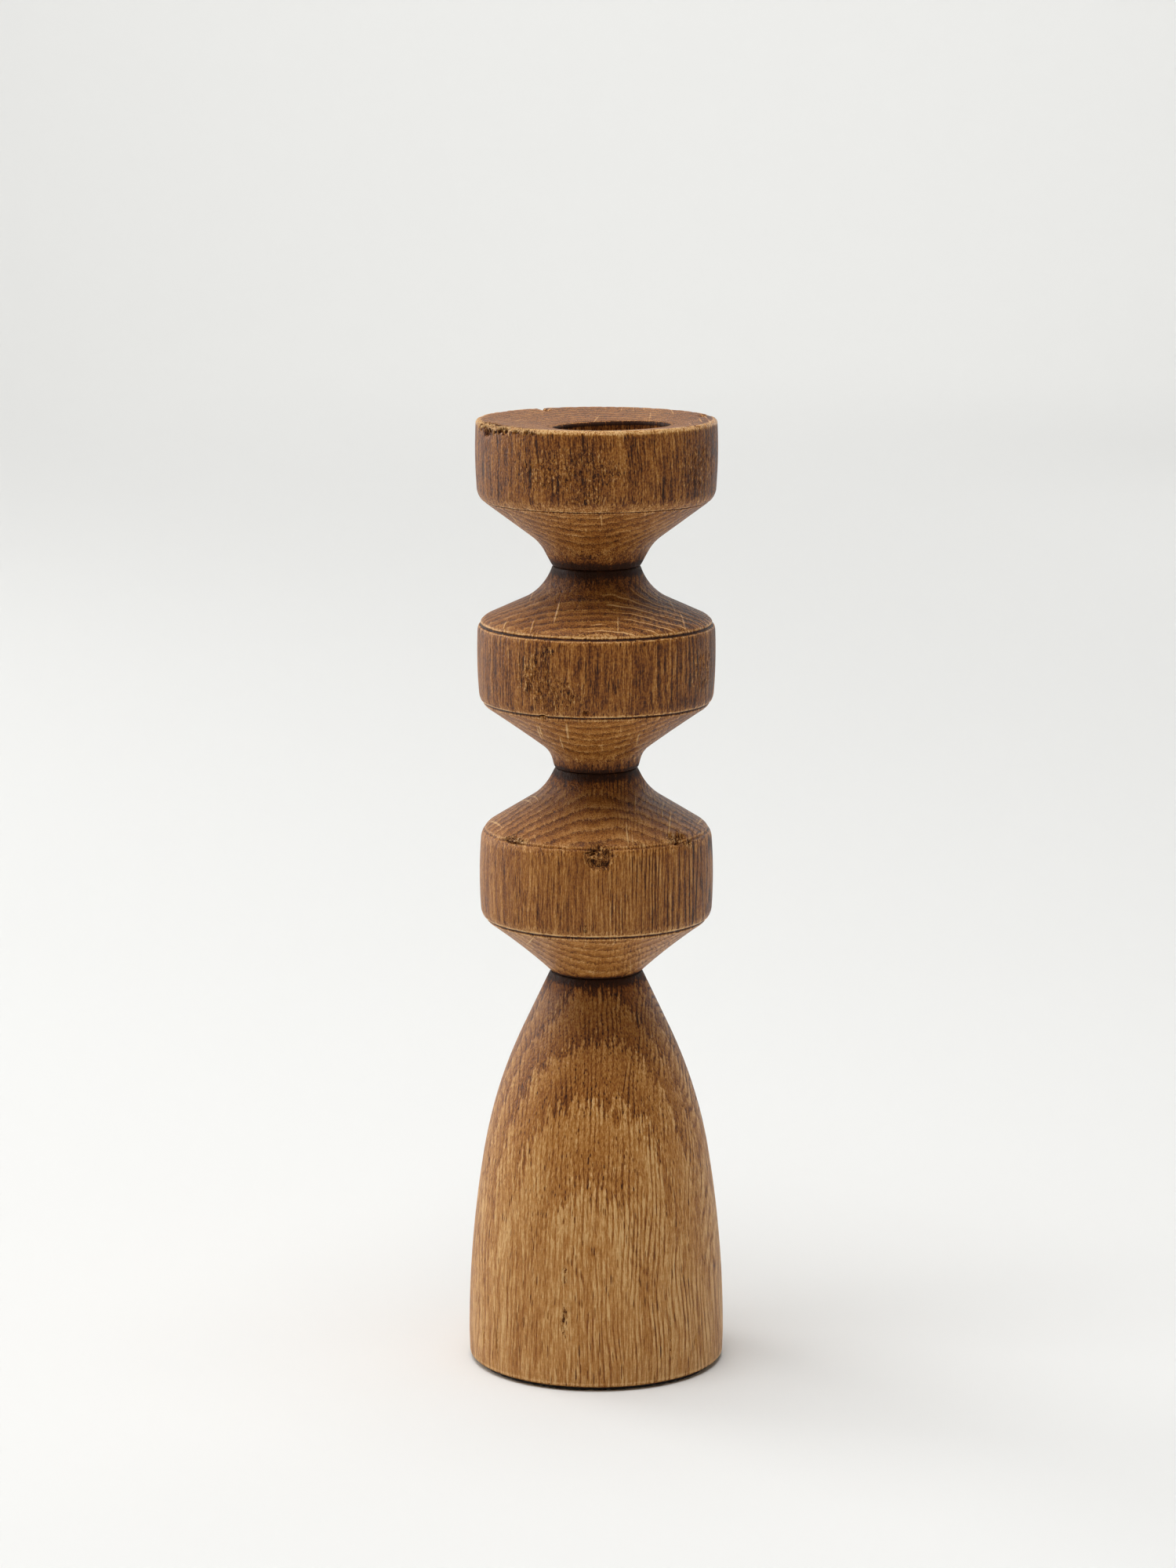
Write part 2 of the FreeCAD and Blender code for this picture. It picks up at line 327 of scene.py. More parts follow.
def chipped(spread, edge, painted_shade, seed):
    """The depth of small chips along the arrises, away from the painted shade."""
    chips = ramp(cloud(spread / CHIP_LUMP, seed), 0.55, 0.8) * ramp(edge, 0.3, 0.9)[:, None]
    return CHIP_DEPTH * chips * (painted_shade < UNSHADED)[:, None]


def closed_mesh(name, x, y, z):
    """A smooth closed mesh from rows of points, with the first and last row drawn to a point."""
    body = np.stack([x, y, z], axis=-1)[1:-1].reshape(-1, 3)
    poles = [[x[0, 0], y[0, 0], z[0, 0]], [x[-1, 0], y[-1, 0], z[-1, 0]]]
    points = np.vstack([body, poles]) * MM
    count = len(x) - 2
    row = np.arange(count - 1)[:, None] * AROUND
    here = np.arange(AROUND)
    there = (here + 1) % AROUND
    quads = np.stack([row + here, row + there, row + AROUND + there, row + AROUND + here], -1)
    low = len(points) - 2
    last = (count - 1) * AROUND
    fans = [(int(b), int(a), low) for a, b in zip(here, there)]
    fans += [(int(last + a), int(last + b), low + 1) for a, b in zip(here, there)]
    mesh = bpy.data.meshes.new(name)
    mesh.from_pydata(points.tolist(), [], quads.reshape(-1, 4).tolist() + fans)
    mesh.polygons.foreach_set("use_smooth", [True] * len(mesh.polygons))
    return mesh


def write_marks(mesh, marks, shape):
    """Store each field as a per-point value that the materials read."""
    for label, field in marks.items():
        layer = mesh.attributes.new(label, "FLOAT", "POINT")
        inner = np.broadcast_to(field, shape)[1:-1].ravel()
        layer.data.foreach_set("value", np.concatenate([inner, [0, 0]]).astype(np.float32))


def turned(name, rings, wears=(), shade_rings=(), seed=0, wander=0.03, dish=None):
    """A closed turned piece: rings of points round the axis, worn where it says, with a field of
    painted shade for the material.
    """
    radius, height, out_r, out_z, scribe, edge = rings.T
    grid_az = np.broadcast_to(np.arange(AROUND) * 360.0 / AROUND, (len(rings), AROUND))
    grid_r = np.broadcast_to(radius[:, None], grid_az.shape)
    grid_z = np.broadcast_to(height[:, None], grid_az.shape)
    around = np.radians(grid_az)
    spread = np.stack([grid_r * np.sin(around), -grid_r * np.cos(around), grid_z], axis=-1)
    # painted shade at the joints, in the socket and along the foot's edge, stored for the material
    painted_shade = painted_shading(rings, shade_rings)
    torn, sunk = worn_fields((grid_az, grid_z, grid_r), wears, seed)
    sunk = np.maximum(sunk, chipped(spread, edge, painted_shade, seed + 3))
    uneven = wander * cloud(spread / SLOW_LUMP, seed + 1)
    shallow = 0.75 + 0.5 * cloud(spread / SCRIBE_LUMP, seed + 2)
    dented = sunk + uneven + scribe[:, None] * shallow
    dented = np.where((radius > DOWEL_BORE + BORE_MARGIN)[:, None], dented, 0)
    place_r = np.maximum(grid_r - out_r[:, None] * dented, 0)
    x = place_r * np.sin(around)
    y = -place_r * np.cos(around)
    z = grid_z - out_z[:, None] * dented
    if dish:
        x, y, z = off_centre(dish, rings, x, y, z)
    mesh = closed_mesh(name, x, y, z)
    marks = {"torn": torn, "sunk": sunk, "scribed": scribe[:, None], "edge": edge[:, None],
             "painted_shade": painted_shade[:, None]}
    write_marks(mesh, marks, grid_az.shape)
    mesh.validate()
    piece = bpy.data.objects.new(name, mesh)
    bpy.context.scene.collection.objects.link(piece)
    return piece


def node_floor(node):
    """Height of a CAD node's lowest point, in mm."""
    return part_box(node)[0].z / MM


def node_height(node):
    """Height of a CAD node from its lowest to its highest point, in mm."""
    low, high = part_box(node)
    return (high.z - low.z) / MM


DOWEL_BORE = 4.05
JOINT_ROUND = 0.55
HIDDEN_STEP = 3.0
BORE_DEPTH = 13.5
CUP_BORE_DEPTH = 9.5
CUP_BORE_REACH = 17.5
SOCKET_RADIUS = 11.0
SOCKET_FLOOR = 11.8
SOCKET_RIGHT = 2.9
SOCKET_FRONT = 3.0
DISH_RIM = 22.0
DISH_SLOPE = 0.1


def foot_bore(depth):
    """From the axis down a dowel's bore in the underside."""
    return [Corner(0, depth, step=HIDDEN_STEP), Corner(DOWEL_BORE, depth, step=HIDDEN_STEP),
            Corner(DOWEL_BORE, 0, step=1.0)]


def top_bore(height, depth):
    """From the top face down a dowel's bore to the axis."""
    floor = height - depth
    return [Corner(DOWEL_BORE, height, step=HIDDEN_STEP),
            Corner(DOWEL_BORE, floor, step=HIDDEN_STEP), Corner(0, floor)]


def make_base():
    """The bullet-shaped base."""
    height = node_height("base")
    corners = [
        Corner(0, 0, step=1.0),
        Corner(24.6, 0, round=JOINT_ROUND),
        Corner(24.75, 4.2, curve=221.0),
        Corner(21.95, 39.1, curve=93.3),
        Corner(13.9, 65.3),
        Corner(8.8, height, round=JOINT_ROUND, step=0.5),
    ] + top_bore(height, BORE_DEPTH)
    wears = [
        Wear(-14.5, 13, 1.6, 9.0, 0.35, pit=(0.5, 2.2)),
        Wear(-14.6, 22, 1.4, 5.0, 0.25, pit=(0.5, 2.0)),
        Wear(-61.5, 6, 0.8, 5.5, 0.3, grit=0.3),
        Wear(-50.5, 6.5, 0.8, 6.5, 0.3, grit=0.3),
        Wear(35.0, 10, 0.8, 12.0, 0.28, grit=0.4, pit=(0.5, 4.0)),
        Wear(50.0, 6.0, 0.8, 6.0, 0.25, grit=0.3),
    ]
    # painted shade beneath the lower spool's foot, and along the bottom edge above the felt
    shade_rings = [PaintedShade(8.8, height, 5.8), PaintedShade(24.6, 0, 1.0)]
    return corners, [], wears, shade_rings


def make_lower_spool():
    """The lower spool."""
    height = node_height("lower_spool")
    corners = foot_bore(BORE_DEPTH) + [
        Corner(8.6, 0, round=JOINT_ROUND, curve=-115.0),
        Corner(22.05, 11.0, round=3.6, curve=100.0),
        Corner(21.95, 28.0, round=3.9),
        Corner(10.0, 35.4, round=11.0),
        Corner(7.8, height, round=JOINT_ROUND, step=0.5),
    ] + top_bore(height, BORE_DEPTH)
    scribes = [
        Scribe(21.35, 10.7, 0.3, 0.36),
        Scribe(21.55, 27.8, 0.22, 0.16),
    ]
    wears = [
        Wear(1.5, 26.4, 7.8, 6.4, 0.85, grit=0.6, pit=(1.0, 0.9), marks=1.5),
        Wear(46.0, 28.6, 7.0, 3.4, 0.6, pit=(0.9, 0.7)),
        Wear(54.0, 27.4, 5.0, 2.0, 0.35, pit=(0.7, 0.6)),
        Wear(-47.0, 28.2, 10.0, 1.8, 0.35, pit=(0.6, 0.6)),
        Wear(-5.7, 12.7, 1.2, 2.0, 0.35, pit=(0.5, 0.7)),
    ]
    # painted shade at the foot's joint and beneath the upper spool's foot
    shade_rings = [PaintedShade(8.6, 0, 2.8), PaintedShade(7.8, height, 6.0)]
    return corners, scribes, wears, shade_rings


def make_upper_spool():
    """The upper spool."""
    height = node_height("upper_spool")
    corners = foot_bore(BORE_DEPTH) + [
        Corner(8.0, 0, round=JOINT_ROUND),
        Corner(8.9, 3.3, round=5.0, curve=-300.0),
        Corner(22.2, 12.8, round=3.8, curve=100.0),
        Corner(22.5, 28.4, round=3.2),
        Corner(10.0, 34.1, round=10.5),
        Corner(8.3, height, round=JOINT_ROUND, step=0.5),
    ] + top_bore(height, CUP_BORE_REACH)
    scribes = [
        Scribe(21.7, 12.8, 0.24, 0.32),
        Scribe(22.25, 27.8, 0.26, 0.36),
    ]
    wears = [
        Wear(-24.0, 25.3, 4.0, 3.0, 0.3),
        Wear(-30.0, 20.5, 11.0, 12.0, 0.26, pit=(0.5, 1.4), marks=0.6),
        Wear(-20.0, 17.5, 14.0, 10.0, 0.2, pit=(0.45, 1.3), marks=0.55),
        Wear(-5.2, 14.1, 1.8, 1.5, 0.7, grit=0.3, pit=(0.8, 0.8)),
        Wear(-27.5, 12.8, 1.6, 2.0, 0.5, grit=0.4, pit=(0.8, 0.8)),
        Wear(62.0, 20.5, 12.0, 12.0, 0.12, pit=(0.45, 1.6), marks=0.5),
    ]
    # painted shade at the foot's joint and beneath the cup's foot
    shade_rings = [PaintedShade(8.0, 0, 3.0), PaintedShade(8.3, height, 5.6)]
    return corners, scribes, wears, shade_rings


@dataclass
class Dish:
    """The cup's dished top, and the socket that was bored a little off the axis."""
    rim: float
    height: float
    slope: float
    hole: float
    right: float
    front: float


def off_centre(dish, rings, x, y, z):
    """Slide the rings of the dish and the socket over to the socket's centre."""
    radius, height = rings[:, 0], rings[:, 1]
    inside = np.arange(len(rings)) > np.argmax(height)
    share = np.where(inside, np.clip((dish.rim - radius) / (dish.rim - dish.hole), 0, 1), 0)
    x = x + share[:, None] * dish.right
    y = y - share[:, None] * dish.front
    shift = dish.slope * (np.hypot(x, y) - radius[:, None])
    depth = dish.height - dish.slope * (dish.rim - dish.hole) - height
    fade = np.where(inside, 1 - ramp(depth, 0, 4), 0) * (radius >= dish.hole - 0.2)
    return x, y, z + shift * fade[:, None]


def make_cup():
    """The cup, with its dished top and the candle's socket."""
    height = node_height("candle_cup")
    dish_depth = DISH_SLOPE * (DISH_RIM - SOCKET_RADIUS)
    corners = foot_bore(CUP_BORE_DEPTH) + [
        Corner(8.4, 0, round=JOINT_ROUND),
        Corner(10.8, 4.5, round=9.0),
        Corner(22.5, 13.2, round=3.4, curve=95.0),
        Corner(22.75, height, round=0.7, step=0.3),
        Corner(DISH_RIM, height, step=0.36),
        Corner(SOCKET_RADIUS, height - dish_depth, round=0.3, step=0.8),
        Corner(SOCKET_RADIUS, SOCKET_FLOOR, step=1.5),
        Corner(0, SOCKET_FLOOR),
    ]
    scribes = [Scribe(21.35, 12.3, 0.18, 0.26)]
    wears = [
        Wear(-60.0, 27.2, 20.0, 3.4, 0.65, pit=(0.5, 0.6)),
        Wear(-64.0, 26.4, 5.0, 2.4, 0.75, grit=0.8, pit=(0.5, 0.6)),
        Wear(-36.0, 27.2, 10.0, 1.8, 0.5, pit=(0.6, 0.6)),
        Wear(-151.0, 27.6, 1.8, 1.2, 0.6, grit=0.2),
        Wear(108.0, 27.6, 2.4, 1.2, 0.5, grit=0.2),
        Wear(-12.0, 20.2, 30.0, 11.0, 0.2, pit=(0.4, 0.9), marks=0.5),
        Wear(58.0, 20.0, 16.0, 12.0, 0.12, pit=(0.4, 1.4), marks=0.45),
        Wear(-4.0, 15.2, 10.0, 3.4, 0.22, pit=(0.45, 0.8), marks=0.55),
    ]
    # painted shade at the foot's joint, at the socket's lip and down inside the socket
    shade_rings = [PaintedShade(8.5, 0.2, 4.8), PaintedShade(11.0, height - 1.6, 1.5), PaintedShade(10.0, height - 11.0, 7.5)]
    return corners, scribes, wears, shade_rings


# ---------------------------------------------------------------- materials

def linear(red, green, blue):
    """Linear colour from display values of 0 to 255."""
    return tuple(
        part / 12.92 if part <= 0.04045 else ((part + 0.055) / 1.055) ** 2.4
        for part in (red / 255, green / 255, blue / 255)
    ) + (1.0,)


class Wire:
    """A value in a node tree, so that a formula can be written as a formula."""

    def __init__(self, tree, socket):
        self.tree = tree
        self.socket = socket

    def node(self, kind, operation, *inputs):
        node = self.tree.nodes.new(kind)
        node.operation = operation
        for slot, value in zip(node.inputs, inputs):
            if isinstance(value, Wire):
                self.tree.links.new(value.socket, slot)
            else:
                slot.default_value = value
        return node

    def math(self, operation, *inputs):
        node = self.node("ShaderNodeMath", operation, self, *inputs)
        return Wire(self.tree, node.outputs[0])

    def __add__(self, other):
        return self.math("ADD", other)

    def __sub__(self, other):
        return self.math("SUBTRACT", other)

    def __mul__(self, other):
        return self.math("MULTIPLY", other)

    def __truediv__(self, other):
        return self.math("DIVIDE", other)

    def flipped(self):
        """One minus this."""
        node = self.node("ShaderNodeMath", "SUBTRACT", 1.0, self)
        return Wire(self.tree, node.outputs[0])

    def most(self, other):
        return self.math("MAXIMUM", other)

    def ramp(self, low, high, start=0.0, end=1.0):
        """Smooth from start to end as this goes from low to high."""
        node = self.tree.nodes.new("ShaderNodeMapRange")
        node.interpolation_type = "SMOOTHSTEP"
        self.tree.links.new(self.socket, node.inputs["Value"])
        for label, value in zip(("From Min", "From Max", "To Min", "To Max"),
                                (low, high, start, end)):
            node.inputs[label].default_value = value
        return Wire(self.tree, node.outputs["Result"])


def combine(tree, x, y, z):
    """A vector from three values."""
    node = tree.nodes.new("ShaderNodeCombineXYZ")
    for slot, value in zip(node.inputs, (x, y, z)):
        if isinstance(value, Wire):
            tree.links.new(value.socket, slot)
        else:
            slot.default_value = value
    return node.outputs[0]


def stretched(tree, grain, size, shift):
    """Grain coordinates divided by a lump's size: across the grain, through it, along it."""
    across, through, along = grain
    return combine(tree, across / size[0] + shift, through / size[1], along / size[2])


def fibre(tree, grain, size, shift, detail=2.0, rough=0.55):
    """Noise whose lumps have this size across, through and along the grain."""
    node = tree.nodes.new("ShaderNodeTexNoise")
    node.inputs["Scale"].default_value = 1.0
    node.inputs["Detail"].default_value = detail
    node.inputs["Roughness"].default_value = rough
    tree.links.new(stretched(tree, grain, size, shift), node.inputs["Vector"])
    return Wire(tree, node.outputs["Fac"])


def spindles(tree, grain, size, shift):
    """Scattered spindles: distance from the nearest one's middle, and its own random value."""
    node = tree.nodes.new("ShaderNodeTexVoronoi")
    node.inputs["Scale"].default_value = 1.0
    tree.links.new(stretched(tree, grain, size, shift), node.inputs["Vector"])
    split = tree.nodes.new("ShaderNodeSeparateColor")
    tree.links.new(node.outputs["Color"], split.inputs[0])
    return Wire(tree, node.outputs["Distance"]), Wire(tree, split.outputs[0])


def attribute(tree, label):
    """One of the mesh's own per-point values."""
    node = tree.nodes.new("ShaderNodeAttribute")
    node.attribute_name = label
    return Wire(tree, node.outputs["Fac"])


SWAY_LUMP = (22.0, 22.0, 30.0)


def grain_frame(tree, pith, sway, shift):
    """Distance along a ring, distance from the pith, and height, in mm, swaying a little."""
    place = tree.nodes.new("ShaderNodeTexCoord").outputs["Object"]
    split = tree.nodes.new("ShaderNodeSeparateXYZ")
    tree.links.new(place, split.inputs[0])
    x, y, z = (Wire(tree, socket) * (1 / MM) for socket in split.outputs)
    lean_x = fibre(tree, (x, y, z), SWAY_LUMP, shift, 1.0)
    lean_y = fibre(tree, (x, y, z), SWAY_LUMP, shift + 7.0, 1.0)
    east = x + (lean_x - 0.5) * sway - pith[0]
    north = y + (lean_y - 0.5) * sway - pith[1]
    through = (east * east + north * north).math("SQRT")
    # the seam of the angle lies on the far side of the pith
    away = -1.0 if pith[1] > 0 else 1.0
    turn = east.math("ARCTAN2", north * away)
    return turn * math.hypot(*pith), through, z


@dataclass
class Oak:
    """How one segment's oak looks: places and sizes in mm, contrasts as steps of shade.

    pith    place of the tree's middle, in x and y
    ring    width of a ring, and first is where the rings start
    shift   offset that gives the segment its own noise
    flame   how jagged the rings' boundaries are
    tone    mean shade; lean is added to it towards the right: painted shade, in part a darker stain
    fade    two heights, and the shade that is added from the one to the other; it darkens the base's top, partly as painted shade below the lower spool
    band    contrast of the rings; even has two heights between which they gain strength, and
            their share of it below
    line    contrast of the long fibres
    dash    darkness of the open pores
    speck   contrast of the flecks
    ray     darkness of the rays on the walls; on end grain they are pale
    seam    lightness of the pale lines on end grain that faces up
    pitch   distance between the even lines; comb has two places from left to right, and the
            lines' contrast at each
    """
    pith: tuple
    ring: float
    shift: float
    first: float
    flame: float
    tone: float
    band: float
    line: float
    dash: float
    speck: float
    ray: float
    seam: float = 0.0
    lean: float = 0.0
    pitch: float = 0.9
    comb: tuple = (-30.0, 30.0, 0.08, 0.08)
    even: tuple = (0.0, 1.0, 1.0)
    fade: tuple = (0.0, 1.0, 0.0)


OAK_COLOURS = [
    (0.0, (54, 27, 9)), (0.2, (90, 46, 13)), (0.4, (138, 80, 28)), (0.6, (173, 113, 50)),
    (0.8, (200, 144, 80)), (1.0, (226, 180, 120)),
]
OAK_GLOSS = {
    "IOR": 1.46, "Specular IOR Level": 0.22, "Coat Weight": 0.08, "Coat Roughness": 0.18,
}


def tinted(tree, shade, stops):
    """A colour for each shade from 0 to 1."""
    node = tree.nodes.new("ShaderNodeValToRGB")
    scale = node.color_ramp.elements
    for _ in range(len(stops) - 2):
        scale.new(0.5)
    for number, (position, colour) in enumerate(stops):
        scale[number].position = position
        scale[number].color = linear(*colour)
    tree.links.new(shade.socket, node.inputs[0])
    return node.outputs["Color"]


def facing(tree):
    """How much of the surface is end grain, 0 on an upright wall, and how far it faces down."""
    geometry = tree.nodes.new("ShaderNodeNewGeometry")
    split = tree.nodes.new("ShaderNodeSeparateXYZ")
    tree.links.new(geometry.outputs["Normal"], split.inputs[0])
    height = Wire(tree, split.outputs["Z"])
    return height.math("ABSOLUTE").ramp(0.45, 0.9), height.ramp(-0.6, -0.15, 1.0, 0.0)


def even_lines(tree, grain, look):
    """Even dark lines along the grain, stronger on one side of the segment."""
    across = grain[0]
    sway = fibre(tree, grain, (5.0, 5.0, 26.0), look.shift + 12, 1.0)
    wave = (across / look.pitch + sway * 3.0).math("FRACT")
    tooth = wave.ramp(0.0, 0.22) * wave.ramp(0.6, 1.0, 1.0, 0.0)
    patchy = fibre(tree, grain, (2.2, 4.0, 12.0), look.shift + 13, 2.0).ramp(0.35, 0.6)
    left, right, start, end = look.comb
    return (tooth - 0.7) * patchy * across.ramp(left, right, start, end)


def embossed(tree, shader, relief, strength, distance):
    """Raise the surface where relief is high; distance is in mm."""
    bump = tree.nodes.new("ShaderNodeBump")
    bump.inputs["Strength"].default_value = strength
    bump.inputs["Distance"].default_value = distance * MM
    tree.links.new(relief.socket, bump.inputs["Height"])
    tree.links.new(bump.outputs["Normal"], shader.inputs["Normal"])
    tree.links.new(bump.outputs["Normal"], shader.inputs["Coat Normal"])


def ring_bands(grain, look, tooth):
    """The saw-toothed rings, pale just outside a boundary, and where the early wood is."""
    through, along = grain[1:]
    phase = (through + tooth - math.hypot(*look.pith) - look.first) / look.ring
    phase = phase.math("FRACT")
    band = phase.ramp(0.0, 0.08) * phase.ramp(0.1, 1.0, 1.0, 0.0)
    low, high, faint = look.even
    return (band - 0.5) * along.ramp(low, high, faint, 1.0), phase.ramp(0.45, 0.95)


def pale_seams(tree, grain, look, drift):
    """Thin pale lines along the rings, in patches, fading out towards the left side."""
    across, through = grain[:2]
    ripple = fibre(tree, grain, (2.6, 9.0, 40.0), look.shift + 14, 1.0) * 1.1
    seam = ((through + ripple + drift * 2.0) / look.ring).math("FRACT")
    seam = seam.ramp(0.0, 0.1) * seam.ramp(0.1, 0.26, 1.0, 0.0)
    seam = seam * fibre(tree, grain, (7.0, 7.0, 7.0), look.shift + 15, 1.0).ramp(0.32, 0.48)
    return seam * across.ramp(-9.0, -2.0)


def open_pores(tree, grain, look, early):
    """Open vessels, cut along: short dark dashes, more of them in the early wood."""
    gap, luck = spindles(tree, grain, (0.36, 0.36, 4.6), look.shift + 8)
    return gap.ramp(0.2, 0.34, 1.0, 0.0) * (luck - early * 0.4).ramp(0.14, 0.26, 1.0, 0.0)


def rays(tree, grain, look):
    """Medullary rays: thin sheets that run through the rings."""
    space, chance = spindles(tree, grain, (1.15, 26.0, 18.0), look.shift + 9)
    return space.ramp(0.1, 0.22, 1.0, 0.0) * chance.ramp(0.56, 0.66, 1.0, 0.0)


def figured(tree, grain, look):
    """The patterns of sound oak, each a value in the node tree."""
    shift = look.shift
    line = fibre(tree, grain, (0.55, 1.1, 24.0), shift + 2, 2.0).ramp(0.36, 0.64)
    thread = fibre(tree, grain, (0.17, 0.24, 3.2), shift + 3, 2.0, 0.6).ramp(0.3, 0.7)
    drift = fibre(tree, grain, (16.0, 12.0, 70.0), shift + 1, 1.0)
    tooth = line * look.flame + thread * 0.3 + (drift - 0.5) * 3.0
    band, early = ring_bands(grain, look, tooth)
    return SimpleNamespace(
        line=line, thread=thread, band=band,
        seam=pale_seams(tree, grain, look, drift),
        dash=open_pores(tree, grain, look, early),
        speck=fibre(tree, grain, (0.2, 0.22, 0.55), shift + 4, 1.0).ramp(0.35, 0.65),
        weave=fibre(tree, grain, (1.3, 1.3, 0.18), shift + 5, 1.0),
        patch=fibre(tree, grain, (4.0, 6.0, 30.0), shift + 6, 2.0),
        cloudy=fibre(tree, grain, (1.5, 1.2, 2.4), shift + 16, 2.0),
        ray=rays(tree, grain, look))


def marks_and_painted_light(tree, grain, look):
    """The wear on the surface and the painted light: the mesh's own marks, with its painted shade
    and its edges, and torn holes and pale chips in them.
    """
    torn = attribute(tree, "torn")
    crumb = fibre(tree, grain, (0.3, 0.3, 0.9), look.shift + 10, 2.0, 0.7)
    within = torn.ramp(0.02, 0.14)
    return SimpleNamespace(
        sunk=attribute(tree, "sunk"), scribed=attribute(tree, "scribed"),
        edge=attribute(tree, "edge"), painted_shade=attribute(tree, "painted_shade"),
        hole=(crumb + torn * 0.12).ramp(0.65, 0.72) * within,
        chip=(crumb.flipped() + torn * 0.12).ramp(0.61, 0.71) * within)


def figure_and_painted_light(figure, look, end, under, cut, lines):
    """How much the figure lightens or darkens sound oak, and a painted light from the floor on
    surfaces that face down.

    end and under are the shares of end grain and of surface that faces down, and cut weakens
    what is weaker on end grain.
    """
    shade = figure.band * (end * 0.2 + look.band)
    shade = shade + ((figure.line - 0.5) * look.line + (figure.thread - 0.5) * 0.34) * cut
    shade = shade + (figure.speck - 0.5) * (end * 0.12 + look.speck)
    shade = shade + (figure.patch - 0.5) * 0.32
    shade = shade + (figure.cloudy - 0.5) * (end.most(under) * 0.4 + 0.1)
    shade = shade + (figure.weave - 0.5) * (under * 0.24 + 0.12) + lines * cut
    shade = shade - figure.dash * look.dash
    shade = shade + figure.ray * (end * (look.ray + 0.46) - look.ray)
    # under * 0.1 is painted light from the floor on surfaces that face down
    return shade + figure.seam * (end - under).most(0.0) * look.seam + under * 0.1


def wear_and_painted_light(wear_and_light, speck):
    """How much wear lightens or darkens the wood, with a painted highlight on edges and scribe
    lips and painted shade where the mesh holds it.
    """
    # edges and scribe lips lightened: rubbed wear and a painted highlight, none in the painted
    # shade
    shade = wear_and_light.edge * wear_and_light.painted_shade.flipped() * (speck * 0.26 + 0.38)
    shade = shade + wear_and_light.chip * 0.36 - wear_and_light.hole * 0.48
    shade = shade - wear_and_light.scribed.ramp(0.06, 0.3) * 0.58 - wear_and_light.sunk.ramp(0.12, 0.5) * 0.2
    # painted shade at the joints, in the socket and at the floor, near black right at a joint
    return shade - wear_and_light.painted_shade * 0.24 - wear_and_light.painted_shade.ramp(0.72, 0.98) * 0.4


def tone_and_painted_shade(grain, look, end):
    """How light the wood is: the segment's tone, paler or darker upwards, partly as painted shade,
    and darker to the right as painted shade, in part a darker stain.
    """
    across, along = grain[0], grain[2]
    low, high, change = look.fade
    # painted shade towards the right, in part a darker stain, stronger on end grain
    side = across.ramp(0.0, 20.0, 0.0, look.lean) * (end * 0.8 + 1.0)
    # fade: on the base a darker top, partly painted shade below the lower spool
    return along.ramp(low, high, 0.0, change) + side + look.tone


def oak(name, look):
    """Oiled oak: rings round a pith, open pores in the early wood, rays, and torn grain."""
    material = bpy.data.materials.new(name)
    material.use_nodes = True
    tree = material.node_tree
    shader = tree.nodes["Principled BSDF"]
    grain = grain_frame(tree, look.pith, 2.6, look.shift)
    figure = figured(tree, grain, look)
    wear_and_light = marks_and_painted_light(tree, grain, look)
    end, under = facing(tree)
    cut = end * -0.55 + 1.0
    lines = even_lines(tree, grain, look)
    shade = figure_and_painted_light(figure, look, end, under, cut, lines)
    shade = shade + wear_and_painted_light(wear_and_light, figure.speck) + tone_and_painted_shade(grain, look, end)
    tree.links.new(tinted(tree, shade, OAK_COLOURS), shader.inputs["Base Color"])
    rough = figure.dash * 0.2 + wear_and_light.hole * 0.3 + figure.thread * 0.12
    rough = rough + wear_and_light.sunk.ramp(0.1, 0.4) * 0.2 + wear_and_light.painted_shade * 0.4 - wear_and_light.edge * 0.14
    tree.links.new((rough + 0.38).socket, shader.inputs["Roughness"])
    for label, value in OAK_GLOSS.items():
        shader.inputs[label].default_value = value
    relief = (figure.thread * 0.3 + figure.line * 0.35 - figure.dash * 1.1) * cut
    relief = relief + figure.speck * 0.3 + wear_and_light.chip * 0.5 - wear_and_light.hole * 1.6
    relief = relief + (figure.band * 1.5 + figure.ray + figure.cloudy * 1.6) * end
    embossed(tree, shader, relief, 0.9, 0.17)
    return material


def beech(name):
    """Raw beech for the dowels: pale, even, with short dark flecks."""
    material = bpy.data.materials.new(name)
    material.use_nodes = True
    tree = material.node_tree
    shader = tree.nodes["Principled BSDF"]
    grain = grain_frame(tree, (3.0, 40.0), 1.0, 3.0)
    streak = fibre(tree, grain, (0.4, 0.6, 18.0), 2.0)
    gap, luck = spindles(tree, grain, (0.5, 2.0, 3.0), 5.0)
    fleck = gap.ramp(0.1, 0.3, 1.0, 0.0) * luck.ramp(0.4, 0.5, 1.0, 0.0)
    shade = streak - fleck * 0.35
    tint = tinted(tree, shade, [(0.0, (150, 108, 72)), (1.0, (226, 190, 150))])
    tree.links.new(tint, shader.inputs["Base Color"])
    shader.inputs["Roughness"].default_value = 0.7
    embossed(tree, shader, shade, 0.5, 0.05)
    return material


def felt(name):
    """Dense black-brown wool felt."""
    material = bpy.data.materials.new(name)
    material.use_nodes = True
    tree = material.node_tree
    shader = tree.nodes["Principled BSDF"]
    grain = grain_frame(tree, (0.0, 60.0), 3.0, 11.0)
    hair = fibre(tree, grain, (0.12, 0.6, 0.12), 1.0, 3.0, 0.7)
    knot = fibre(tree, grain, (0.7, 0.12, 0.3), 4.0, 3.0, 0.7)
    fuzz = hair * 0.5 + knot * 0.5
    tint = tinted(tree, fuzz, [(0.3, (14, 11, 9)), (0.75, (44, 38, 33))])
    tree.links.new(tint, shader.inputs["Base Color"])
    shader.inputs["Roughness"].default_value = 0.95
    shader.inputs["Sheen Weight"].default_value = 0.2
    embossed(tree, shader, fuzz, 0.9, 0.12)
    return material


# ---------------------------------------------------------------- the candlestick

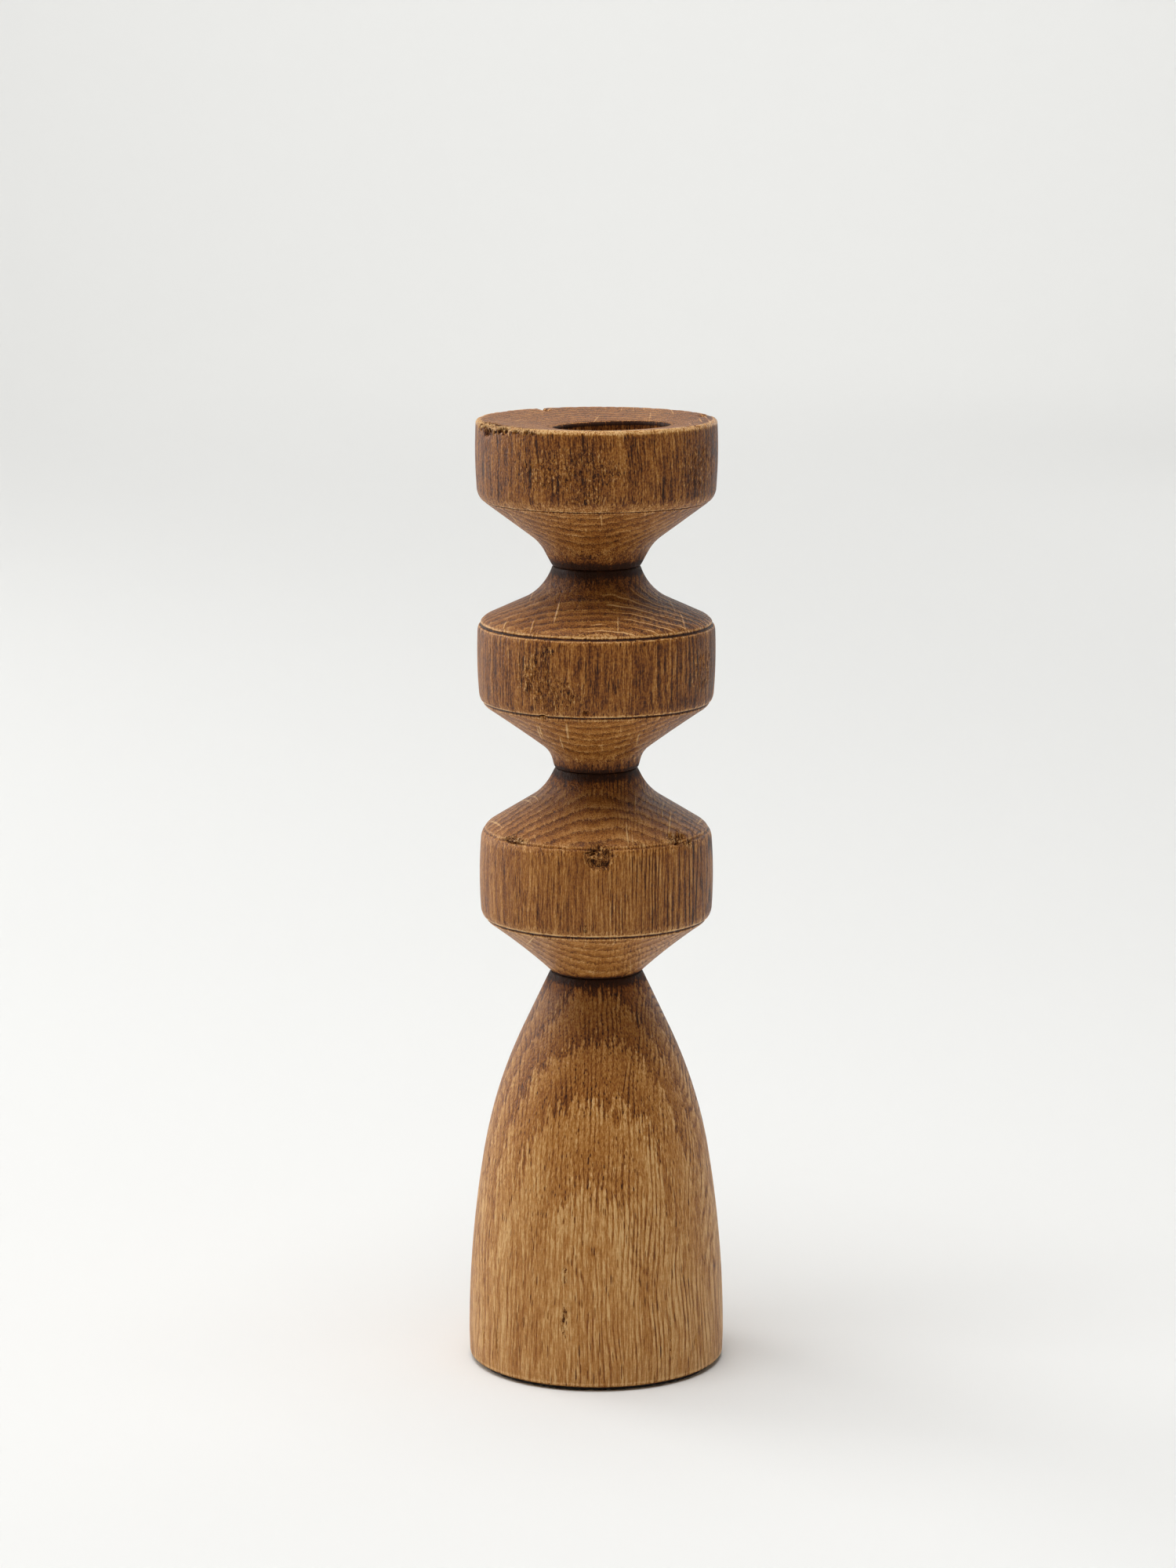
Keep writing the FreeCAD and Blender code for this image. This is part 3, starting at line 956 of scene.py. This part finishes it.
# lean gives the spools and the cup painted shade towards the right, in part a darker stain; the
# base's fade darkens its top, partly as painted shade
SEGMENTS = {
    "base": (make_base, "golden_oak", Oak(
        pith=(8.0, 140.0), ring=4.1, shift=11.3, first=14.3, flame=1.4, tone=0.75, band=0.2,
        line=0.2, dash=0.36, speck=0.08, ray=0.12, pitch=0.78, comb=(-16.0, 2.0, 0.24, 0.44),
        even=(26.0, 50.0, 0.25), fade=(30.0, 72.0, -0.26))),
    "lower_spool": (make_lower_spool, "stained_oak", Oak(
        pith=(9.5, -93.0), ring=2.4, shift=37.1, first=0.0, flame=0.4, tone=0.5, band=0.08,
        line=0.2, dash=0.3, speck=0.16, ray=0.2, pitch=0.9, comb=(-14.0, -4.0, 0.12, 0.5),
        lean=-0.14)),
    "upper_spool": (make_upper_spool, "stained_oak", Oak(
        pith=(5.0, 90.0), ring=2.2, shift=53.9, first=0.0, flame=0.3, tone=0.43, band=0.08,
        line=0.2, dash=0.28, speck=0.2, ray=0.2, seam=0.75, pitch=0.84,
        comb=(-2.0, 4.0, 0.1, 0.42), lean=-0.16)),
    "candle_cup": (make_cup, "stained_oak", Oak(
        pith=(11.0, 80.0), ring=1.8, shift=71.7, first=0.0, flame=0.3, tone=0.4, band=0.08,
        line=0.18, dash=0.24, speck=0.26, ray=0.3, pitch=0.6, comb=(-6.0, 12.0, 0.06, 0.24),
        seam=0.25, lean=-0.22)),
}


FIRST_SEED = 3
SEED_STEP = 10


def stand_in(piece, node, material):
    """Let a piece take a CAD node's place."""
    piece.data.materials.append(material)
    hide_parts(node)
    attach(piece, "root")


def build_segment(number, node):
    """One turned segment, at its CAD node's height."""
    make, slot, look = SEGMENTS[node]
    rise = node_floor(node)
    corners, scribes, wears, shade_rings = [
        [replace(item, height=item.height + rise) for item in group] for group in make()]
    dish = None
    if node == "candle_cup":
        dish = Dish(rim=DISH_RIM, height=rise + node_height(node), slope=DISH_SLOPE,
                    hole=SOCKET_RADIUS, right=SOCKET_RIGHT, front=SOCKET_FRONT)
    rings = outline(corners, scribes)
    seed = FIRST_SEED + number * SEED_STEP
    piece = turned(f"{node}_wood", rings, wears, shade_rings, seed, dish=dish)
    stand_in(piece, node, oak(f"{node}_oak", look))


def build_felt():
    """The felt disc under the base."""
    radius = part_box("felt_pad")[1].x / MM
    thickness = node_floor("base")
    corners = [
        Corner(0, 0, step=1.0),
        Corner(radius, 0, round=0.15, step=0.15),
        Corner(radius, thickness, round=0.1, step=1.0),
        Corner(0, thickness),
    ]
    pad = turned("felt_disc", outline(corners, []), seed=91, wander=0.12)
    stand_in(pad, "felt_pad", felt("felt_wool"))


def finish_dowels():
    """The CAD dowels stay, in raw beech."""
    wood = beech("dowel_beech")
    for node in ("base_dowel", "spool_dowel", "cup_dowel"):
        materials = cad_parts[node].data.materials
        materials.clear()
        materials.append(wood)


for number, node in enumerate(SEGMENTS):
    build_segment(number, node)
build_felt()
finish_dowels()


# ---------------------------------------------------------------- stage, light and camera

FLOOR_RADIUS = 2.2
COVE_RADIUS = 0.8
COVE_STEPS = 12
WALL_TOP = 2.4
OPENING = 30.0
STAGE_STEPS = 120
PAPER = (232, 232, 230)


def stage_line():
    """Radius and height of the floor, the cove and the wall, from the middle outwards."""
    line = [(0.02, 0.0), (0.3, 0.0), (FLOOR_RADIUS, 0.0)]
    for part in range(1, COVE_STEPS + 1):
        turn = math.radians(90 * part / COVE_STEPS)
        line.append((FLOOR_RADIUS + COVE_RADIUS * math.sin(turn),
                     COVE_RADIUS * (1 - math.cos(turn))))
    line.append((FLOOR_RADIUS + COVE_RADIUS, WALL_TOP))
    return line


def paper():
    """Matt pale paper."""
    material = bpy.data.materials.new("paper")
    material.use_nodes = True
    shader = material.node_tree.nodes["Principled BSDF"]
    shader.inputs["Base Color"].default_value = linear(*PAPER)
    shader.inputs["Roughness"].default_value = 0.9
    shader.inputs["Specular IOR Level"].default_value = 0.1
    return material


def cyclorama():
    """A round pale floor that curves up into a wall, open towards the camera."""
    line = stage_line()
    points = [(0.0, 0.0, 0.0)]
    for radius, height in line:
        for step in range(STAGE_STEPS):
            turn = 2 * math.pi * step / STAGE_STEPS
            points.append((radius * math.sin(turn), -radius * math.cos(turn), height))
    faces = [(0, 1 + (step + 1) % STAGE_STEPS, 1 + step) for step in range(STAGE_STEPS)]
    for ring in range(len(line) - 1):
        for step in range(STAGE_STEPS):
            azimuth = (step + 0.5) * 360 / STAGE_STEPS
            if ring >= 2 and min(azimuth, 360 - azimuth) < OPENING:
                continue
            low = 1 + ring * STAGE_STEPS
            high = low + STAGE_STEPS
            after = (step + 1) % STAGE_STEPS
            faces.append((low + step, low + after, high + after, high + step))
    mesh = bpy.data.meshes.new("cyclorama")
    mesh.from_pydata(points, [], faces)
    mesh.polygons.foreach_set("use_smooth", [True] * len(faces))
    mesh.materials.append(paper())
    piece = bpy.data.objects.new("cyclorama", mesh)
    bpy.context.scene.collection.objects.link(piece)


def softbox(name, place, aim, size, power):
    """A square area light at a place, facing a point."""
    data = bpy.data.lights.new(name, "AREA")
    data.shape = "SQUARE"
    data.size = size
    data.energy = power
    lamp = bpy.data.objects.new(name, data)
    lamp.location = place
    lamp.rotation_euler = (Vector(aim) - Vector(place)).to_track_quat("-Z", "Y").to_euler()
    bpy.context.scene.collection.objects.link(lamp)


def light_stage():
    """Soft light from above and behind, and three lamps that only light the walls."""
    middle = (0.0, 0.0, 0.5 * (cad_low.z + cad_high.z))
    softbox("top", (-0.1, -0.15, 1.6), aim=(0.0, 0.0, 0.1), size=1.3, power=18.4)
    softbox("rear", (0.0, 1.9, 1.7), aim=(0.1, 3.0, 0.7), size=1.2, power=21.5)
    softbox("left_kick", (-1.15, 0.78, 0.5), aim=middle, size=0.8, power=8.5)
    softbox("right_kick", (0.8, 1.15, 0.5), aim=middle, size=0.8, power=1.6)
    softbox("spark", (-0.28, -0.36, 1.5), aim=middle, size=1.1, power=8.5)
    softbox("left_wall", (-1.9, 0.0, 1.7), aim=(-3.0, 0.0, 0.7), size=1.2, power=8.5)
    softbox("front_wall", (0.9, -0.9, 1.8), aim=(2.1, -2.1, 0.6), size=1.0, power=3.0)
    world = bpy.data.worlds.new("studio")
    world.use_nodes = True
    sky = world.node_tree.nodes["Background"]
    sky.inputs["Color"].default_value = (1.0, 1.0, 0.99, 1.0)
    sky.inputs["Strength"].default_value = 0.01
    bpy.context.scene.world = world


CAMERA_SIDE = -0.0016
CAMERA_DISTANCE = 0.842
CAMERA_HEIGHT = 0.270
CAMERA_PITCH = 10.55
SENSOR = 36.0
FOCAL_LENGTH = 102.9


def place_camera():
    """The photo's camera: a little above the cup, looking slightly down."""
    lens = bpy.data.cameras.new("camera")
    lens.sensor_width = SENSOR
    lens.lens = FOCAL_LENGTH
    camera = bpy.data.objects.new("camera", lens)
    camera.location = (CAMERA_SIDE, -CAMERA_DISTANCE, CAMERA_HEIGHT)
    camera.rotation_euler = (math.radians(90 - CAMERA_PITCH), 0.0, 0.0)
    bpy.context.scene.collection.objects.link(camera)
    bpy.context.scene.camera = camera
    bpy.context.scene.view_settings.view_transform = "Standard"


cyclorama()
light_stage()
place_camera()
